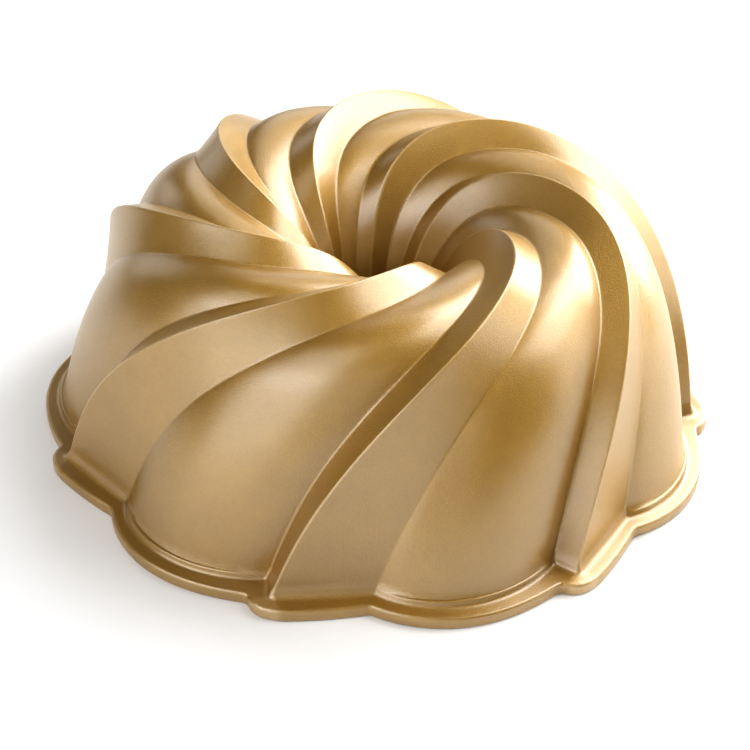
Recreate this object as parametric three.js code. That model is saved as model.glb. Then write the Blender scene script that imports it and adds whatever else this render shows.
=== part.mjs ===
// A fluted tube cake pan (bundt pan) in cast aluminium, standing upside down on its rim.
// Millimetres, +Z up. The tube's axis is Z and the rim stands on z = 0.
import * as THREE from "three";

const { degToRad, lerp } = THREE.MathUtils;

// The swirl: one flute is a narrow step face, a flat band and a rounded lobe, repeated round the axis.
const FLUTES = 7;
const FLUTE_ANGLE = (2 * Math.PI) / FLUTES;

// Heights.
const FOOT_HEIGHT = 7.6; // where the wall rises from the flange
const SHELF_HEIGHT = 5.4; // flange top beside the wall
const LIP_HEIGHT = 4.9; // flange top at its rounded edge
const SIDE_HEIGHT = 3.7; // top of the flange's upright side
const COAT_HEM = 0.4; // the coats stop this far above the surface that the rim stands on
const OUTLET_HEIGHT = 3; // open end of the centre tube

// Where the shelf and the lip lie, as shares of the way from the wall's foot to the flange's edge.
const SHELF_SHARE = 0.35;
const LIP_SHARE = 0.82;

// The layers, as depths below the outermost surface.
const COAT = 0.35;
const GAP = 0.3;
const WALL = 3;
const CASTING_TOP = COAT + GAP;
const CASTING_BACK = CASTING_TOP + WALL;
const LINING_TOP = CASTING_BACK + GAP;
const LINING_BACK = LINING_TOP + COAT;

// Curve handles, as shares of the wall's height or of the width that the curve spans.
const FUNNEL_PULL = 1.09;
const OUTLET_PULL = 0.12;
const OUTLET_TAPER = degToRad(1.7);
const CAST_WALL = { draft: degToRad(7.9), wallPull: 0.33, shoulderPull: 0.755 };
const LOBE_WALL = { draft: degToRad(12.8), wallPull: 0.5, shoulderPull: 0.564 };

// Radii of the three lines that the surface follows in section: the creases at the foot of each step and
// flat, the sharp ridge between them, and the crown of the lobe.
const CREASE = meridian({ foot: 114.5, crest: 66.7, crestHeight: 91.5, outlet: 15, ...CAST_WALL });
const RIDGE = meridian({ foot: 123.5, crest: 65.6, crestHeight: 98.9, outlet: 14, ...CAST_WALL });
const CROWN = meridian({ foot: 122.5, crest: 68.7, crestHeight: 93.3, outlet: 14.6, ...LOBE_WALL });

// In plan each line is an Archimedean spiral: its angle at the foot, and its turn for each millimetre inwards.
const STEP_ROOT = { angle: degToRad(-17.4), turn: degToRad(0.96) };
const RIDGE_LINE = { angle: degToRad(-15.45), turn: degToRad(1.017) };
const FLAT_ROOT = { angle: degToRad(1.4), turn: degToRad(1.126) };

// The lobe's section is a sine arch, a little fuller than a sine and leaning towards the flat.
const LOBE_LEAN = 0.93;
const LOBE_FULLNESS = 0.85;

// The rim's outline in plan: a notch beside each step, a rounded corner at each ridge, a straight side
// along each flat, a soft notch at its end, and a rounded side along each lobe.
const STEP_NOTCH = { radius: 125, angle: degToRad(-19.5) };
const RIM_CORNER = { radius: 133.4, angle: degToRad(-17) };
const FLAT_START = { radius: 128.9, angle: degToRad(-12.5) };
const FLAT_NOTCH = { radius: 121.1, angle: degToRad(0.3) };
const RIM_LOBE_RISE = 6.8;
const RIM_LOBE_LEAN = 0.87;

// Mesh rows up and over the wall, and columns across each part of a flute.
const WALL_ROWS = 20;
const STEP_COLUMNS = 2;
const FLAT_COLUMNS = 3;
const LOBE_COLUMNS = 6;
const CORNER_SHARE = 0.2; // share of the flat that the rim's rounded corner takes

// One line in section: up the wall from its foot, over the crest and down the centre tube.
function meridian({ foot, crest, crestHeight, outlet, draft, wallPull, shoulderPull }) {
  const height = crestHeight - FOOT_HEIGHT;
  const wallReach = wallPull * height;
  const outletReach = OUTLET_PULL * height;
  const top = new THREE.Vector2(crest, crestHeight);
  const path = new THREE.CurvePath();
  path.add(
    new THREE.CubicBezierCurve(
      new THREE.Vector2(foot, FOOT_HEIGHT),
      new THREE.Vector2(foot - wallReach * Math.sin(draft), FOOT_HEIGHT + wallReach * Math.cos(draft)),
      new THREE.Vector2(crest + shoulderPull * (foot - crest), crestHeight),
      top,
    ),
  );
  path.add(
    new THREE.CubicBezierCurve(
      top,
      new THREE.Vector2(crest - FUNNEL_PULL * (crest - outlet), crestHeight),
      new THREE.Vector2(
        outlet + outletReach * Math.sin(OUTLET_TAPER),
        OUTLET_HEIGHT + outletReach * Math.cos(OUTLET_TAPER),
      ),
      new THREE.Vector2(outlet, OUTLET_HEIGHT),
    ),
  );
  return { foot, path };
}

// A point of a line, share of the way from foot to outlet and depth below the outermost surface.
function below(line, share, depth) {
  const point = line.path.getPoint(share);
  const along = line.path.getTangent(share);
  return {
    inward: line.foot - point.x,
    radius: point.x - depth * along.y,
    height: point.y + depth * along.x,
  };
}

function spiral(line, inward) {
  return line.angle + line.turn * inward;
}

function polar(radius, angle, height) {
  return new THREE.Vector3(radius * Math.sin(angle), -radius * Math.cos(angle), height);
}

function between(a, b, share) {
  return new THREE.Vector3().lerpVectors(a, b, share);
}

// A closed ring of points, from functions that give the step, the flat and the lobe of one flute.
function ring({ step, flat, lobe }) {
  const points = [];
  for (let flute = 0; flute < FLUTES; flute++) {
    const turn = flute * FLUTE_ANGLE;
    const parts = [
      [step, STEP_COLUMNS],
      [flat, FLAT_COLUMNS],
      [lobe, LOBE_COLUMNS],
    ];
    for (const [part, columns] of parts) {
      for (let i = 0; i < columns; i++) {
        points.push(part(i / columns).applyAxisAngle(new THREE.Vector3(0, 0, 1), turn));
      }
    }
  }
  return points;
}

// The wall's section at one share of the way from foot to outlet. Near the foot the step faces stand along
// the radius, so a deeper layer's step also lies further round. Towards the crest they lie down.
function wallRing(share, depth) {
  const aside = depth * (1 - share) ** 2;
  const crease = below(CREASE, share, depth);
  const ridge = below(RIDGE, share, depth);
  const crown = below(CROWN, share, depth);
  const stepAngle = spiral(STEP_ROOT, crease.inward) + aside / crease.radius;
  const ridgeAngle = spiral(RIDGE_LINE, ridge.inward) + aside / ridge.radius;
  const flatAngle = spiral(FLAT_ROOT, crease.inward);
  const stepRoot = polar(crease.radius, stepAngle, crease.height);
  const ridgePoint = polar(ridge.radius, ridgeAngle, ridge.height);
  const flatRoot = polar(crease.radius, flatAngle, crease.height);
  return ring({
    step: (s) => between(stepRoot, ridgePoint, s),
    flat: (s) => between(ridgePoint, flatRoot, s),
    lobe: (s) => {
      const rise = Math.sin(Math.PI * s ** LOBE_LEAN) ** LOBE_FULLNESS;
      return polar(
        lerp(crease.radius, crown.radius, rise),
        lerp(flatAngle, stepAngle + FLUTE_ANGLE, s),
        lerp(crease.height, crown.height, rise),
      );
    },
  });
}

// The rim's outline at one height.
function rimRing(height, depth) {
  const at = ({ radius, angle }, shift) => polar(radius - depth, angle + shift / radius, height);
  const notch = at(STEP_NOTCH, depth);
  const corner = new THREE.QuadraticBezierCurve3(notch, at(RIM_CORNER, depth), at(FLAT_START, 0));
  const flatEnd = at(FLAT_NOTCH, 0);
  const nextNotch = STEP_NOTCH.angle + depth / STEP_NOTCH.radius + FLUTE_ANGLE;
  return ring({
    step: (s) => corner.getPoint(s / 2),
    flat: (s) =>
      s < CORNER_SHARE
        ? corner.getPoint((1 + s / CORNER_SHARE) / 2)
        : between(at(FLAT_START, 0), flatEnd, (s - CORNER_SHARE) / (1 - CORNER_SHARE)),
    lobe: (s) => {
      const rise = RIM_LOBE_RISE * Math.sin(Math.PI * s ** RIM_LOBE_LEAN);
      const base = lerp(FLAT_NOTCH.radius, STEP_NOTCH.radius, s) - depth;
      return polar(base + rise, lerp(FLAT_NOTCH.angle, nextNotch, s), height);
    },
  });
}

// A ring part of the way from one ring to another, at a height of its own.
function flangeRing(from, to, share, height) {
  return from.map((point, i) => between(point, to[i], share).setZ(height));
}

// The rows of one skin of the wall, from the outlet to the foot.
function wallRows(depth) {
  const rows = [];
  for (let i = WALL_ROWS; i >= 0; i--) {
    rows.push(wallRing(i / WALL_ROWS, depth));
  }
  return rows;
}

// An outer skin: the wall, then the flange out to its edge and down its side.
function outerSkin(depth, hem) {
  const rows = wallRows(depth);
  const foot = rows.at(-1);
  const edge = rimRing(SIDE_HEIGHT - depth, depth);
  rows.push(flangeRing(foot, edge, SHELF_SHARE, SHELF_HEIGHT - depth));
  rows.push(flangeRing(foot, edge, LIP_SHARE, LIP_HEIGHT - depth));
  rows.push(edge);
  rows.push(rimRing(hem, depth));
  return rows;
}

// An inner skin: the wall, then straight down to the rim's underside.
function innerSkin(depth, hem) {
  const rows = wallRows(depth);
  rows.push(rows.at(-1).map((point) => point.clone().setZ(hem)));
  return rows;
}

// A closed body between two skins, joined at the rim and round the outlet. The spirals lean each cell of the
// mesh over, and every cell is split along its short diagonal, so neighbouring layers run parallel.
function shell(outer, inner) {
  const rows = [...outer, ...inner.reverse()];
  const columns = rows[0].length;
  const faces = [];
  rows.forEach((row, i) => {
    const here = i * columns;
    const next = ((i + 1) % rows.length) * columns;
    const isOuter = i < outer.length;
    for (let j = 0; j < columns; j++) {
      const k = (j + 1) % columns;
      if (isOuter) {
        faces.push(here + j, next + j, next + k);
        faces.push(here + j, next + k, here + k);
      } else {
        faces.push(here + j, next + j, here + k);
        faces.push(here + k, next + j, next + k);
      }
    }
  });
  const geometry = new THREE.BufferGeometry().setFromPoints(rows.flat());
  geometry.setIndex(faces);
  geometry.computeVertexNormals();
  return geometry;
}

function piece(name, geometry, material) {
  const mesh = new THREE.Mesh(geometry, material);
  mesh.name = name;
  return mesh;
}

// The cast body: flange, fluted wall, crest, funnel and centre tube in one metal.
function panCasting() {
  const aluminium = new THREE.MeshStandardMaterial({ color: 0xb4b6b8, roughness: 0.45, metalness: 1 });
  return piece("pan_casting", shell(outerSkin(CASTING_TOP, 0), innerSkin(CASTING_BACK, 0)), aluminium);
}

// The gold satin coat over the outside, down the flange's side and into the tube.
function outerCoat() {
  const gold = new THREE.MeshStandardMaterial({ color: 0xb8925a, roughness: 0.38, metalness: 0.9 });
  return piece("outer_coat", shell(outerSkin(0, COAT_HEM), outerSkin(COAT, COAT_HEM)), gold);
}

// The dark release coat on the cake side.
function innerLining() {
  const lining = new THREE.MeshStandardMaterial({ color: 0x3d3a37, roughness: 0.5, metalness: 0.2 });
  return piece(
    "inner_lining",
    shell(innerSkin(LINING_TOP, COAT_HEM), innerSkin(LINING_BACK, COAT_HEM)),
    lining,
  );
}

const bundtPan = new THREE.Group();
bundtPan.add(panCasting(), outerCoat(), innerLining());

export default bundtPan;
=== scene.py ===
"""Looks of the bundt pan: a satin gold coat outside, bare cast metal between, a dark release coat inside.

The surfaces follow the same lines as the CAD solids. The fillets, the flared foot, the lobes' small bead and
the flange's cove and lip are added. Lengths are in millimetres until shell() turns them into metres. Z is the
centre tube's axis.
"""

import math

import bpy
import numpy as np
from mathutils import Matrix, Vector


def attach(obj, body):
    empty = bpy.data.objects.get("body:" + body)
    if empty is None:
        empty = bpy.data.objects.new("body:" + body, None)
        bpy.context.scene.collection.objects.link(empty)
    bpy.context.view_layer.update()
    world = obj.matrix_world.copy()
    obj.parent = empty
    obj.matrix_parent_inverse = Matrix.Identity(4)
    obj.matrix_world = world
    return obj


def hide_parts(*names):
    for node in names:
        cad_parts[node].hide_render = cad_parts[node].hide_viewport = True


MM = 0.001
CURVE_POINTS = 400
SHARP_ANGLE = math.radians(50)

# The swirl: one flute is a narrow step face, a flat band and a rounded lobe.
FLUTES = 7
FLUTE_ANGLE = 2 * math.pi / FLUTES
FOOT_HEIGHT = 7.6
OUTLET_HEIGHT = 3.0
OUTLET_TAPER = math.radians(1.7)
FUNNEL_PULL = 1.09
OUTLET_PULL = 0.12

# Depths of the layers below the outermost surface. Hairline gaps of 0.03 mm keep them apart.
COAT_BACK = 0.35
CASTING_TOP = 0.38
CASTING_BACK = 3.92
LINING_TOP = 3.95
LINING_BACK = 4.3

# In plan each line of the swirl is an Archimedean spiral: angle at the foot, turn for each mm inwards.
STEP_ROOT = (math.radians(-17.4), math.radians(0.96))
RIDGE_LINE = (math.radians(-15.45), math.radians(1.017))
FLAT_ROOT = (math.radians(1.4), math.radians(1.126))
LOBE_LEAN = 0.93
LOBE_FULLNESS = 0.85

# The rim's outline: radius and angle of its corners, and the bulge along each lobe.
STEP_NOTCH = (125.0, math.radians(-19.5))
RIM_CORNER = (132.0, math.radians(-17.0))
FLAT_NOTCH = (121.1, math.radians(0.3))
RIM_LOBE_RISE = 6.7
RIM_LOBE_LEAN = 0.87
RIM_FLAT_BOW = 1.3

# Each flute's columns. A fillet takes the ends of the parts beside it: the reach from each part's start and
# from its end, at the wall and at the rim's outline.
COLUMNS = {"step": 4, "flat": 16, "lobe": 20}
FILLET_COLUMNS = 5
WALL_REACH = {"step": (1.2, 0.9), "flat": (0.9, 0.9), "lobe": (0.9, 1.2)}
RIM_REACH = {"step": (1.3, 7.5), "flat": (10.7, 1.6), "lobe": (1.6, 4.0)}
MOST_WALL_REACH = 0.3  # of the part's width, where the flutes close up in the tube
MOST_RIM_REACH = 0.9
FINE_ROWS = 150
HIDDEN_ROWS = 70

# The wall flares out a little over its last few millimetres.
FLARE = 0.5
FLARE_HEIGHT = 2.6

# The flange in section. From the wall's foot outwards: distance and height on the flats, then on the lobes,
# where a small bead runs along the foot.
FOOT_PROFILE = (
    (0.15, 7.35, 0.35, 7.65),
    (0.30, 7.00, 0.80, 7.60),
    (0.45, 6.65, 1.15, 7.40),
    (0.65, 6.30, 1.35, 7.05),
    (0.90, 5.98, 1.45, 6.60),
    (1.20, 5.72, 1.60, 6.15),
    (1.60, 5.50, 1.90, 5.75),
    (2.10, 5.34, 2.40, 5.45),
    (2.80, 5.22, 3.10, 5.27),
    (3.70, 5.15, 3.90, 5.18),
)
# And inwards from its edge: distance, height.
EDGE_PROFILE = ((1.5, 5.05), (1.0, 4.98), (0.6, 4.82), (0.28, 4.55), (0.08, 4.2), (0.0, 3.8), (0.0, 0.8))
BEAD_FULLNESS = 0.5  # below 1 the bead keeps its size nearly to the ends of a lobe
COAT_HEM = ((0.05, 0.6), (0.15, 0.46), (0.35, 0.4))
CASTING_FOOT = ((0.0, 0.45), (0.1, 0.15), (0.4, 0.02), (1.0, 0.0))
HEM = 0.4


def bezier(*handles):
    t = np.linspace(0, 1, CURVE_POINTS)[:, None]
    a, b, c, d = (np.array(h, float) for h in handles)
    return (1 - t) ** 3 * a + 3 * (1 - t) ** 2 * t * b + 3 * (1 - t) * t * t * c + t**3 * d


def line(foot, crest, crest_height, outlet, draft, wall_pull, shoulder_pull):
    """One line in section: up the wall from its foot, over the crest and down the centre tube.

    Gives the foot's radius, then the share of the way, the point and the direction all along the line.
    """
    height = crest_height - FOOT_HEIGHT
    rise = wall_pull * height
    drop = OUTLET_PULL * height
    wall = bezier(
        (foot, FOOT_HEIGHT),
        (foot - rise * math.sin(draft), FOOT_HEIGHT + rise * math.cos(draft)),
        (crest + shoulder_pull * (foot - crest), crest_height),
        (crest, crest_height),
    )
    tube = bezier(
        (crest, crest_height),
        (crest - FUNNEL_PULL * (crest - outlet), crest_height),
        (outlet + drop * math.sin(OUTLET_TAPER), OUTLET_HEIGHT + drop * math.cos(OUTLET_TAPER)),
        (outlet, OUTLET_HEIGHT),
    )
    points = np.vstack([wall, tube[1:]])
    lengths = np.hypot(*np.diff(points, axis=0).T)
    share = np.concatenate([[0], np.cumsum(lengths)]) / lengths.sum()
    along = np.gradient(points, share, axis=0)
    along /= np.linalg.norm(along, axis=1)[:, None]
    return foot, share, points, along


# The wall's draft, and how far the curve's handles reach up the wall and out over the shoulder.
CAST_WALL = (math.radians(7.9), 0.33, 0.755)
LOBE_WALL = (math.radians(12.8), 0.5, 0.564)

# Radius of the foot, radius and height of the crest, radius of the outlet.
CREASE = line(114.5, 66.7, 91.5, 15.0, *CAST_WALL)
RIDGE = line(123.5, 65.6, 98.9, 14.0, *CAST_WALL)
CROWN = line(122.5, 68.7, 93.3, 14.6, *LOBE_WALL)


def below(a_line, share, depth):
    """Radius and height at a share of the way, a depth below a line, and how far in from the foot that is."""
    foot, shares, points, along = a_line
    radius, height = (np.interp(share, shares, points[:, i])[:, None] for i in (0, 1))
    outwards, upwards = (np.interp(share, shares, along[:, i])[:, None] for i in (0, 1))
    return radius - depth * upwards, height + depth * outwards, foot - radius


def polar(radius, angle, height):
    """Points from their radius, their angle round from -Y towards +X, and their height."""
    radius, angle, height = np.broadcast_arrays(radius, angle, height)
    return np.stack([radius * np.sin(angle), -radius * np.cos(angle), height], -1)


def between(a, b, share):
    return a + (b - a) * share


def turned(points, angle):
    """Points turned about the tube's axis."""
    c, s = math.cos(angle), math.sin(angle)
    x, y, z = np.moveaxis(points, -1, 0)
    return np.stack([c * x - s * y, s * x + c * y, z], -1)


def strip(part, at, reach, most):
    """Rows of points across one part of a flute, from one fillet's end to the next fillet's start."""
    ends = at(np.array([[0.0, 0.5, 1.0]]))
    width = np.linalg.norm(np.diff(ends, axis=1), axis=-1).sum(1, keepdims=True)
    start, end = (np.minimum(r / width, most) for r in reach[part])
    return at(between(start, 1 - end, np.linspace(0, 1, COLUMNS[part] + 1)[None, :]))


def fillet(start, corner, end):
    """Rows of points round a corner, between the last column of one part and the first of the next."""
    t = np.arange(1, FILLET_COLUMNS + 1)[None, :, None] / (FILLET_COLUMNS + 1)
    start, corner, end = (p[:, None, :] for p in (start, corner, end))
    return (1 - t) ** 2 * start + 2 * t * (1 - t) * corner + t * t * end


def all_round(step_at, flat_at, lobe_at, reach, most):
    """A full ring for each row: the three parts of a flute with the fillets after them, seven times."""
    step = strip("step", step_at, reach, most)
    flat = strip("flat", flat_at, reach, most)
    lobe = strip("lobe", lobe_at, reach, most)
    first = np.zeros((1, 1))
    next_root = turned(step_at(first)[:, 0], FLUTE_ANGLE)
    flute = np.concatenate(
        [
            step,
            fillet(step[:, -1], flat_at(first)[:, 0], flat[:, 0]),
            flat,
            fillet(flat[:, -1], lobe_at(first)[:, 0], lobe[:, 0]),
            lobe,
            fillet(lobe[:, -1], next_root, turned(step[:, 0], FLUTE_ANGLE)),
        ],
        axis=1,
    )
    return np.concatenate([turned(flute, k * FLUTE_ANGLE) for k in range(FLUTES)], axis=1)


def wall(depth, rows):
    """The fluted wall, crest and tube: a row of points for each share of the way, outlet first."""
    share = np.linspace(1, 0, rows + 1)
    aside = depth * (1 - share[:, None]) ** 2
    crease_r, crease_z, crease_in = below(CREASE, share, depth)
    ridge_r, ridge_z, ridge_in = below(RIDGE, share, depth)
    crown_r, crown_z, _ = below(CROWN, share, depth)
    step_angle = STEP_ROOT[0] + STEP_ROOT[1] * crease_in + aside / crease_r
    ridge_angle = RIDGE_LINE[0] + RIDGE_LINE[1] * ridge_in + aside / ridge_r
    flat_angle = FLAT_ROOT[0] + FLAT_ROOT[1] * crease_in
    step_root = polar(crease_r, step_angle, crease_z)
    ridge = polar(ridge_r, ridge_angle, ridge_z)
    flat_root = polar(crease_r, flat_angle, crease_z)

    def lobe_at(s):
        rise = np.sin(math.pi * s**LOBE_LEAN) ** LOBE_FULLNESS
        return polar(
            between(crease_r, crown_r, rise),
            between(flat_angle, step_angle + FLUTE_ANGLE, s),
            between(crease_z, crown_z, rise),
        )

    return all_round(
        lambda s: between(step_root, ridge, s[..., None]),
        lambda s: between(ridge, flat_root, s[..., None]),
        lobe_at,
        WALL_REACH,
        MOST_WALL_REACH,
    )


def rim(depth):
    """The flange's outline in plan, as one row of points at height 0."""

    def at(corner, aside):
        radius, angle = corner
        return polar(radius - depth, angle + aside / radius, 0.0)

    notch, bend = at(STEP_NOTCH, depth), at(RIM_CORNER, depth)
    flat_end = at(FLAT_NOTCH, 0)
    next_notch = STEP_NOTCH[1] + depth / STEP_NOTCH[0] + FLUTE_ANGLE
    along = (flat_end - bend) / np.linalg.norm(flat_end - bend)
    outwards = np.array([along[1], -along[0], 0.0])

    def flat_at(s):
        s = s[..., None]
        return between(bend, flat_end, s) + 4 * s * (1 - s) * RIM_FLAT_BOW * outwards

    def lobe_at(s):
        rise = RIM_LOBE_RISE * np.sin(math.pi * s**RIM_LOBE_LEAN)
        base = between(FLAT_NOTCH[0], STEP_NOTCH[0], s) - depth
        return polar(base + rise, between(FLAT_NOTCH[1], next_notch, s), 0.0)

    return all_round(
        lambda s: between(notch, bend, s[..., None]),
        flat_at,
        lobe_at,
        RIM_REACH,
        MOST_RIM_REACH,
    )[0]


def column_values(on_ridge, on_lobe):
    """A value for every column of a row: one on the ridges, a row of them on the lobes, and 0 between."""
    flute = [
        np.zeros(COLUMNS["step"] + 1),
        np.full(FILLET_COLUMNS, on_ridge),
        np.zeros(COLUMNS["flat"] + 1 + FILLET_COLUMNS),
        on_lobe,
        np.zeros(FILLET_COLUMNS),
    ]
    return np.tile(np.concatenate(flute), FLUTES)


ACROSS_LOBE = np.linspace(0, 1, COLUMNS["lobe"] + 1)
LOBENESS = column_values(0.0, np.sin(math.pi * ACROSS_LOBE) ** BEAD_FULLNESS)
# The ridge fillets, which the gold coat paints paler: partly wear, partly a painted highlight.
RIDGES = column_values(1.0, 0 * ACROSS_LOBE)


def at_height(points, height):
    """A copy of one row of points, moved up or down to a height."""
    points = points.copy()
    points[:, 2] = height
    return points


def outer_skin(depth, rows, foot_rows):
    """The wall, then the flange out to its edge and down its side."""
    wall_rows = wall(depth, rows)
    foot, edge = at_height(wall_rows[-1], 0.0), rim(depth)
    out = edge - foot
    out /= np.linalg.norm(out, axis=1)[:, None]
    above_foot = (wall_rows[:, :, 2:] - FOOT_HEIGHT) / FLARE_HEIGHT
    is_outside = np.arange(rows + 1)[:, None, None] > rows / 2
    flare = FLARE * np.clip(1 - above_foot, 0, 1) ** 2 * is_outside
    skin = list(wall_rows + flare * out)  # the tube's half of the rows isn't flared
    foot = at_height(skin[-1], 0.0)
    for flat_distance, flat_height, lobe_distance, lobe_height in FOOT_PROFILE:
        distance = between(flat_distance, lobe_distance, LOBENESS)[:, None]
        skin.append(at_height(foot + distance * out, between(flat_height, lobe_height, LOBENESS) - depth))
    for distance, height in EDGE_PROFILE:  # lowered by the layer's depth, but by half the height at most
        skin.append(at_height(edge - distance * out, max(height - depth, height / 2)))
    for distance, height in foot_rows:
        skin.append(at_height(edge - distance * out, height))
    return skin


def inner_skin(depth, rows, hem):
    """The wall, then straight down to the rim's underside."""
    skin = list(wall(depth, rows))
    skin.append(at_height(skin[-1], hem))
    return skin


def shell(name, outer, inner):
    """A closed body between two skins, joined at the rim and round the outlet."""
    rows = np.array(outer + inner[::-1])
    count, around, _ = rows.shape
    index = np.arange(count * around).reshape(count, around)
    below_it = np.roll(index, -1, axis=0)
    faces = np.stack(
        [index, below_it, np.roll(below_it, -1, axis=1), np.roll(index, -1, axis=1)], -1
    ).reshape(-1, 4)
    mesh = bpy.data.meshes.new(name)
    mesh.from_pydata(rows.reshape(-1, 3) * MM, [], faces.tolist())
    mesh.shade_smooth()
    mesh.set_sharp_from_angle(angle=SHARP_ANGLE)
    piece = bpy.data.objects.new(name, mesh)
    bpy.context.scene.collection.objects.link(piece)
    # Marks the ridge fillets for the gold coat's pale gold: partly wear, partly a painted highlight.
    ridge = np.tile(RIDGES, count)
    mesh.attributes.new("ridge", "FLOAT", "POINT").data.foreach_set("value", ridge.astype(np.float32))
    return piece


def shader(name, **sockets):
    material = bpy.data.materials.new(name)
    material.use_nodes = True
    nodes = material.node_tree.nodes
    bsdf = nodes["Principled BSDF"]
    for socket, value in sockets.items():
        bsdf.inputs[socket.replace("_", " ")].default_value = value
    return material, nodes, material.node_tree.links, bsdf


def node(nodes, kind, **settings):
    made = nodes.new(kind)
    for key, value in settings.items():
        if key[0].isupper():
            made.inputs[key.replace("_", " ")].default_value = value
        else:
            setattr(made, key, value)
    return made


def noise(nodes, links, scale, detail=2.0, roughness=0.5):
    where = node(nodes, "ShaderNodeTexCoord")
    made = node(nodes, "ShaderNodeTexNoise", Scale=scale, Detail=detail, Roughness=roughness)
    links.new(where.outputs["Object"], made.inputs["Vector"])
    return made.outputs["Fac"]


def ramp(nodes, links, value, *stops):
    made = nodes.new("ShaderNodeValToRGB")
    elements = made.color_ramp.elements
    while len(elements) < len(stops):
        elements.new(0.5)
    for element, (position, colour) in zip(elements, stops):
        element.position = position
        element.color = (*colour, 1)
    links.new(value, made.inputs["Fac"])
    return made.outputs["Color"]


def mapped(nodes, links, value, low, high, to_low, to_high):
    made = node(nodes, "ShaderNodeMapRange", From_Min=low, From_Max=high, To_Min=to_low, To_Max=to_high)
    links.new(value, made.inputs["Value"])
    return made.outputs["Result"]


def bump(nodes, links, height, distance, strength, after=None):
    made = node(nodes, "ShaderNodeBump", Distance=distance, Strength=strength)
    links.new(height, made.inputs["Height"])
    if after:
        links.new(after, made.inputs["Normal"])
    return made.outputs["Normal"]


# Colours are linear. Two colours in a row are the darker and the lighter of a mottle.
GOLD = ((0.39, 0.225, 0.026), (0.435, 0.254, 0.034))
PALE_GOLD = (0.6, 0.42, 0.18, 1)
# The pale gold on the ridge fillets is partly wear and partly a painted highlight.
RIDGE_WEAR_AND_HIGHLIGHT = (0.2, 1.0, 0.0, 0.6)  # "ridge" from 0.2 to 1 brings in none to 0.6 of the pale gold
LINING = ((0.035, 0.033, 0.031), (0.075, 0.07, 0.065))
ALUMINIUM = ((0.50, 0.50, 0.51), (0.68, 0.68, 0.69))
FLOOR = ((0.93, 0.93, 0.93), (0.95, 0.95, 0.95))

# Noise settings: features for each metre, detail, and how much the fine detail counts.
MOTTLE = (55, 4)
ROUGH_PATCHES = (900, 3, 0.7)
WAVES = (120, 2)
GRAIN = (1800, 2, 0.8)
LINING_SPECKLE = (1400, 2, 0.8)
LINING_PATCHES = (60, 3)
CAST_GRAIN = (700, 5, 0.7)
FLOOR_PATCHES = (6, 2)
NOISE_LOW, NOISE_HIGH = 0.3, 0.7  # the noise mostly lies between these


def mottled(nodes, links, value, colours, low=NOISE_LOW, high=NOISE_HIGH):
    return ramp(nodes, links, value, (low, colours[0]), (high, colours[1]))


def varied(nodes, links, value, to_low, to_high):
    """A noise spread over a range of roughness."""
    return mapped(nodes, links, value, NOISE_LOW, NOISE_HIGH, to_low, to_high)


def gold_coat():
    """Satin metallic gold under a clear coat with a fine grain, paler on the ridges: partly wear, partly a
    painted highlight along their fillets.
    """
    material, nodes, links, bsdf = shader(
        "gold_coat", Metallic=1.0, Coat_Weight=1.0, Coat_Roughness=0.33, Coat_IOR=2.3
    )
    mottle = mottled(nodes, links, noise(nodes, links, *MOTTLE), GOLD)
    # The ridges' pale gold: partly worn coat, partly a painted highlight along the fillets.
    wear_and_highlight = node(nodes, "ShaderNodeAttribute", attribute_name="ridge")
    mix = node(nodes, "ShaderNodeMix", data_type="RGBA")
    links.new(mapped(nodes, links, wear_and_highlight.outputs["Fac"], *RIDGE_WEAR_AND_HIGHLIGHT), mix.inputs["Factor"])
    links.new(mottle, mix.inputs["A"])
    mix.inputs["B"].default_value = PALE_GOLD
    links.new(mix.outputs["Result"], bsdf.inputs["Base Color"])
    rough = noise(nodes, links, *ROUGH_PATCHES)
    links.new(varied(nodes, links, rough, 0.46, 0.6), bsdf.inputs["Roughness"])
    waves = bump(nodes, links, noise(nodes, links, *WAVES), 0.2 * MM, 0.25)
    grain = bump(nodes, links, noise(nodes, links, *GRAIN), 0.4 * MM, 1.0, waves)
    links.new(grain, bsdf.inputs["Normal"])
    return material


def release_coat():
    """Dark non-stick coat with a faint speckle."""
    material, nodes, links, bsdf = shader("release_coat", Metallic=0.1, Specular_IOR_Level=0.4)
    speckle = noise(nodes, links, *LINING_SPECKLE)
    links.new(mottled(nodes, links, speckle, LINING, 0.45, 0.72), bsdf.inputs["Base Color"])
    patches = noise(nodes, links, *LINING_PATCHES)
    links.new(varied(nodes, links, patches, 0.38, 0.52), bsdf.inputs["Roughness"])
    links.new(bump(nodes, links, speckle, 0.05 * MM, 0.5), bsdf.inputs["Normal"])
    return material


def cast_aluminium():
    """Bare metal with the grain of the casting."""
    material, nodes, links, bsdf = shader("cast_aluminium", Metallic=1.0)
    grain = noise(nodes, links, *CAST_GRAIN)
    links.new(mottled(nodes, links, grain, ALUMINIUM), bsdf.inputs["Base Color"])
    links.new(varied(nodes, links, grain, 0.36, 0.55), bsdf.inputs["Roughness"])
    links.new(bump(nodes, links, grain, 0.1 * MM, 0.6), bsdf.inputs["Normal"])
    return material


# The camera: sensor and lens in millimetres, distances in metres, the shift as a share of the sensor.
SENSOR = 36
LENS = 82.94
CAMERA_SHIFT = (-0.0027, 0.0363)
NEAREST = 0.05
CAMERA_DISTANCE = 0.6862
CAMERA_ELEVATION = math.radians(37.13)
CAMERA_ROLL = math.radians(2.39)


def place_camera():
    """A camera above the front of the pan, aimed at the origin."""
    camera = bpy.data.objects.new("camera", bpy.data.cameras.new("camera"))
    bpy.context.scene.collection.objects.link(camera)
    bpy.context.scene.camera = camera
    camera.data.sensor_width = SENSOR
    camera.data.lens = LENS
    camera.data.shift_x, camera.data.shift_y = CAMERA_SHIFT
    camera.data.clip_start = NEAREST
    place = CAMERA_DISTANCE * Vector((0, -math.cos(CAMERA_ELEVATION), math.sin(CAMERA_ELEVATION)))
    aim = (-place).to_track_quat("-Z", "Y").to_matrix().to_4x4()
    camera.matrix_world = Matrix.Translation(place) @ aim @ Matrix.Rotation(CAMERA_ROLL, 4, "Z")


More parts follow.
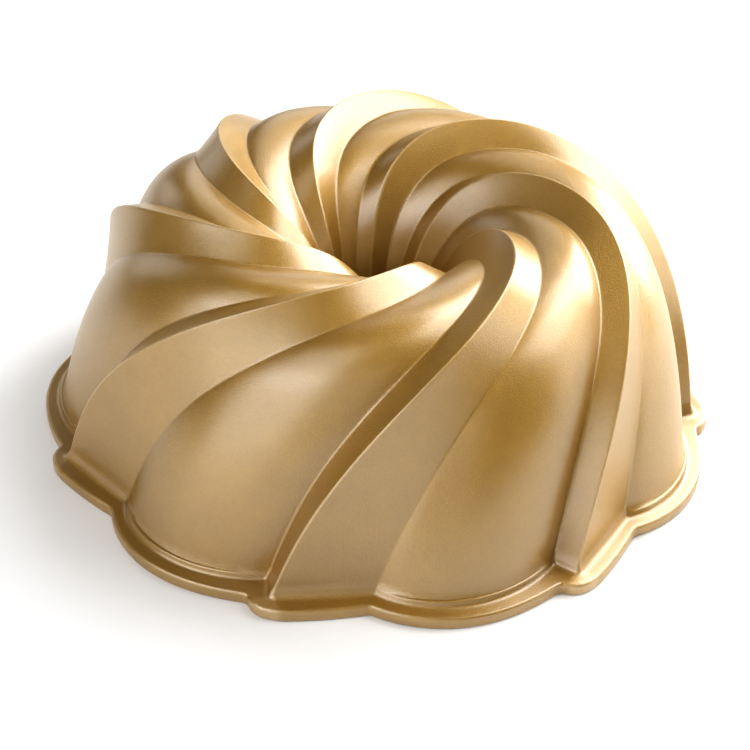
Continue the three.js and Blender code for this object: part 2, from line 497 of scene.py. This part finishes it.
# The softboxes: bearing round the pan from its right, height above the floor (degrees), side (m), power (W).
SOFTBOXES = {
    "right_low": (0, 20, 0.8, 2.8),
    "back_right_low": (45, 20, 0.8, 9.5),
    "back_low": (90, 20, 0.6, 1.2),
    "back_left_low": (135, 20, 0.6, 1.0),
    "front_left_low": (225, 22, 1.2, 6.6),
    "front_low": (270, 22, 0.9, 1.2),
    "right_high": (0, 52, 0.8, 5.0),
    "back_right_high": (45, 52, 0.7, 5.2),
    "back_high": (90, 52, 0.6, 0.8),
    "front_left_high": (225, 52, 0.9, 3.0),
}
SOFTBOX_DISTANCE = 1.3
SURROUNDINGS = 0.08  # even white light from all round
LIGHT_TARGET = Vector((0, 0, 0.05))


def soft_light(name, bearing, height, side, power):
    """One square softbox, aimed at the middle of the pan."""
    data = bpy.data.lights.new(name, "AREA")
    data.shape = "SQUARE"
    data.size = side
    data.energy = power
    light = bpy.data.objects.new(name, data)
    bpy.context.scene.collection.objects.link(light)
    bearing, height = math.radians(bearing), math.radians(height)
    level = math.cos(height)
    place = SOFTBOX_DISTANCE * Vector(
        (level * math.cos(bearing), level * math.sin(bearing), math.sin(height))
    )
    aim = (LIGHT_TARGET - place).to_track_quat("-Z", "Y").to_matrix().to_4x4()
    light.matrix_world = Matrix.Translation(place) @ aim


def light_the_scene():
    scene = bpy.context.scene
    scene.view_settings.view_transform = "Standard"
    scene.view_settings.look = "High Contrast"
    world = bpy.data.worlds.new("studio")
    world.use_nodes = True
    world.node_tree.nodes["Background"].inputs["Color"].default_value = (1, 1, 1, 1)
    world.node_tree.nodes["Background"].inputs["Strength"].default_value = SURROUNDINGS
    scene.world = world
    for name, settings in SOFTBOXES.items():
        soft_light(name, *settings)


FLOOR_HALF = 3.0


def make_floor():
    """A plain pale floor, 6 m square."""
    material, nodes, links, bsdf = shader("floor", Roughness=0.7)
    tint = mottled(nodes, links, noise(nodes, links, *FLOOR_PATCHES), FLOOR)
    links.new(tint, bsdf.inputs["Base Color"])
    mesh = bpy.data.meshes.new("floor")
    corners = [(x * FLOOR_HALF, y * FLOOR_HALF, 0) for x, y in ((-1, -1), (1, -1), (1, 1), (-1, 1))]
    mesh.from_pydata(corners, [], [(0, 1, 2, 3)])
    mesh.materials.append(material)
    floor = bpy.data.objects.new("floor", mesh)
    bpy.context.scene.collection.objects.link(floor)


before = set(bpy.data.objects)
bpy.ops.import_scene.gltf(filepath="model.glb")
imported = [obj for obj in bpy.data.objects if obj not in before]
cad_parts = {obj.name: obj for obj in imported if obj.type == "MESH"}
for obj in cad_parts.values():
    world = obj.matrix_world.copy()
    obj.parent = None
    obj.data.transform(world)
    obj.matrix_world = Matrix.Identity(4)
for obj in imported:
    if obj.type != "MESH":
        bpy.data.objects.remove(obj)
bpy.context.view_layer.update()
place_camera()
light_the_scene()
make_floor()

coat = shell(
    "gold_outer_coat",
    outer_skin(0.0, FINE_ROWS, COAT_HEM),
    outer_skin(COAT_BACK, HIDDEN_ROWS, ((0.0, HEM),)),
)
casting = shell(
    "cast_body",
    outer_skin(CASTING_TOP, HIDDEN_ROWS, CASTING_FOOT),
    inner_skin(CASTING_BACK, HIDDEN_ROWS, 0.0),
)
lining = shell(
    "release_lining",
    inner_skin(LINING_TOP, HIDDEN_ROWS, HEM),
    inner_skin(LINING_BACK, FINE_ROWS, HEM),
)
PIECES = (
    (coat, gold_coat(), "gold_coat", "outer_coat"),
    (casting, cast_aluminium(), "cast_aluminium", "pan_casting"),
    (lining, release_coat(), "release_coat", "inner_lining"),
)
for piece, material, slot, cad_node in PIECES:
    piece.data.materials.append(material)
    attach(piece, "root")
    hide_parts(cad_node)
